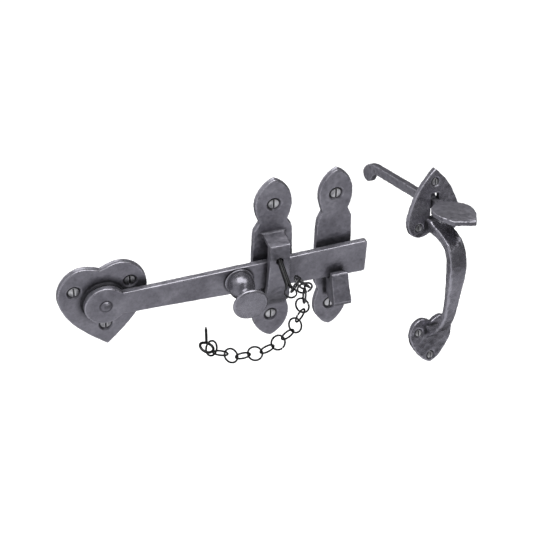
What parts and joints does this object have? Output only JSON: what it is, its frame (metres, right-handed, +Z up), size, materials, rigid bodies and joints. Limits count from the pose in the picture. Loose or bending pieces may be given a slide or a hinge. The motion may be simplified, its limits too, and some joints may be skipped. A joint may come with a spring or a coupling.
{
  "type": "stair gate latch",
  "caption": "Cast iron thumb latch set for a gate: pivoting latch bar with knob, staple and keep plates, locking pin on a chain, and a pull handle with a thumb lever.",
  "frame": {"origin": "on the latch bar's pivot axis, in the plane of the plates' backs", "axes": "+X along the latch bar from its pivot to its free end, +Z up, -Y towards the viewer (out of the door)"},
  "size_m": [0.2879, 0.1357, 0.1596],
  "materials": {
    "pewter_plate": "hammered, antique pewter",
    "pewter_handle": "hammered, antique pewter",
    "pewter_bar": "hammered, antique pewter",
    "pewter_knob": "smooth, antique pewter",
    "pewter_lever": "hammered, antique pewter",
    "pewter_rivet": "worn, antique pewter",
    "screw_steel": "antique steel, bright worn edges",
    "dark_wire": "blackened wire, satin"
  },
  "bodies": {
    "root": {"pivot_plate": "pewter_plate", "pivot_rivet": "pewter_rivet", "staple_plate": "pewter_plate", "keep_plate": "pewter_plate", "pivot_screw_1": "screw_steel", "pivot_screw_2": "screw_steel", "pivot_screw_3": "screw_steel", "staple_screw_1": "screw_steel", "staple_screw_2": "screw_steel", "keep_screw_1": "screw_steel", "keep_screw_2": "screw_steel", "handle_casting": "pewter_handle", "lever_pin": "pewter_rivet", "handle_screw_1": "screw_steel", "handle_screw_2": "screw_steel", "handle_screw_3": "screw_steel", "handle_screw_4": "screw_steel", "handle_screw_5": "screw_steel", "handle_screw_6": "screw_steel"},
    "latch_bar": {"latch_bar": "pewter_bar", "bar_knob": "pewter_knob"},
    "thumb_lever": {"thumb_lever": "pewter_lever"},
    "locking_pin": {"locking_pin": "dark_wire", "loose_link_1": "dark_wire", "loose_link_2": "dark_wire", "loose_link_3": "dark_wire", "loose_link_4": "dark_wire", "loose_link_5": "dark_wire"},
    "chain_link_01": {"chain_link_01": "dark_wire"},
    "chain_link_02": {"chain_link_02": "dark_wire"},
    "chain_link_03": {"chain_link_03": "dark_wire"},
    "chain_link_04": {"chain_link_04": "dark_wire"},
    "chain_link_05": {"chain_link_05": "dark_wire"},
    "chain_link_06": {"chain_link_06": "dark_wire"},
    "chain_link_07": {"chain_link_07": "dark_wire"},
    "chain_link_08": {"chain_link_08": "dark_wire"},
    "chain_link_09": {"chain_link_09": "dark_wire"},
    "chain_link_10": {"chain_link_10": "dark_wire"},
    "chain_link_11": {"chain_link_11": "dark_wire"},
    "fixing_nail": {"fixing_nail": "dark_wire"}
  },
  "joints": [
    {"name": "latch_bar_lift", "type": "hinge", "parent": "root", "child": "latch_bar", "pos_m": [0, -0.0097, 0], "axis": [0, -1, 0], "range_deg": [0, 6]},
    {"name": "thumb_lever_press", "type": "hinge", "parent": "root", "child": "thumb_lever", "pos_m": [0.23496, -0.00391, 0.03194], "axis": [0.9871, 0.1305, -0.093], "range_deg": [0, 10]},
    {"name": "locking_pin_slide", "type": "slide", "parent": "root", "child": "locking_pin", "axis": [0, -0.9354, -0.3535], "range_m": [0, 0.03]},
    {"name": "chain_swing_01", "type": "hinge", "parent": "locking_pin", "child": "chain_link_01", "pos_m": [0.13453, -0.02854, -0.01693], "axis": [0, -1, 0], "range_deg": [-5, 10]},
    {"name": "chain_swing_02", "type": "hinge", "parent": "chain_link_01", "child": "chain_link_02", "pos_m": [0.13356, -0.02902, -0.02201], "axis": [0, -1, 0], "range_deg": [0, 13]},
    {"name": "chain_swing_03", "type": "hinge", "parent": "chain_link_02", "child": "chain_link_03", "pos_m": [0.13073, -0.02902, -0.03256], "axis": [0, -1, 0], "range_deg": [0, 13]},
    {"name": "chain_swing_04", "type": "hinge", "parent": "chain_link_03", "child": "chain_link_04", "pos_m": [0.12736, -0.02902, -0.03863], "axis": [0, -1, 0], "range_deg": [0, 13]},
    {"name": "chain_swing_05", "type": "hinge", "parent": "chain_link_04", "child": "chain_link_05", "pos_m": [0.11992, -0.02902, -0.04662], "axis": [0, -1, 0], "range_deg": [0, 13]},
    {"name": "chain_swing_06", "type": "hinge", "parent": "chain_link_05", "child": "chain_link_06", "pos_m": [0.11409, -0.02902, -0.0504], "axis": [0, -1, 0], "range_deg": [0, 13]},
    {"name": "chain_swing_07", "type": "hinge", "parent": "chain_link_06", "child": "chain_link_07", "pos_m": [0.10377, -0.02902, -0.05396], "axis": [0, -1, 0], "range_deg": [0, 13]},
    {"name": "chain_swing_08", "type": "hinge", "parent": "chain_link_07", "child": "chain_link_08", "pos_m": [0.09685, -0.02902, -0.05456], "axis": [0, -1, 0], "range_deg": [0, 13]},
    {"name": "chain_swing_09", "type": "hinge", "parent": "chain_link_08", "child": "chain_link_09", "pos_m": [0.08606, -0.02902, -0.05285], "axis": [0, -1, 0], "range_deg": [0, 13]},
    {"name": "chain_swing_10", "type": "hinge", "parent": "chain_link_09", "child": "chain_link_10", "pos_m": [0.07967, -0.02902, -0.05014], "axis": [0, -1, 0], "range_deg": [0, 13]},
    {"name": "chain_swing_11", "type": "hinge", "parent": "chain_link_10", "child": "chain_link_11", "pos_m": [0.07095, -0.02902, -0.04357], "axis": [0, -1, 0], "range_deg": [0, 13]},
    {"name": "nail_swing", "type": "hinge", "parent": "chain_link_11", "child": "fixing_nail", "pos_m": [0.06901, -0.02791, -0.03961], "axis": [0, -1, 0], "range_deg": [-15, 15]}
  ]
}
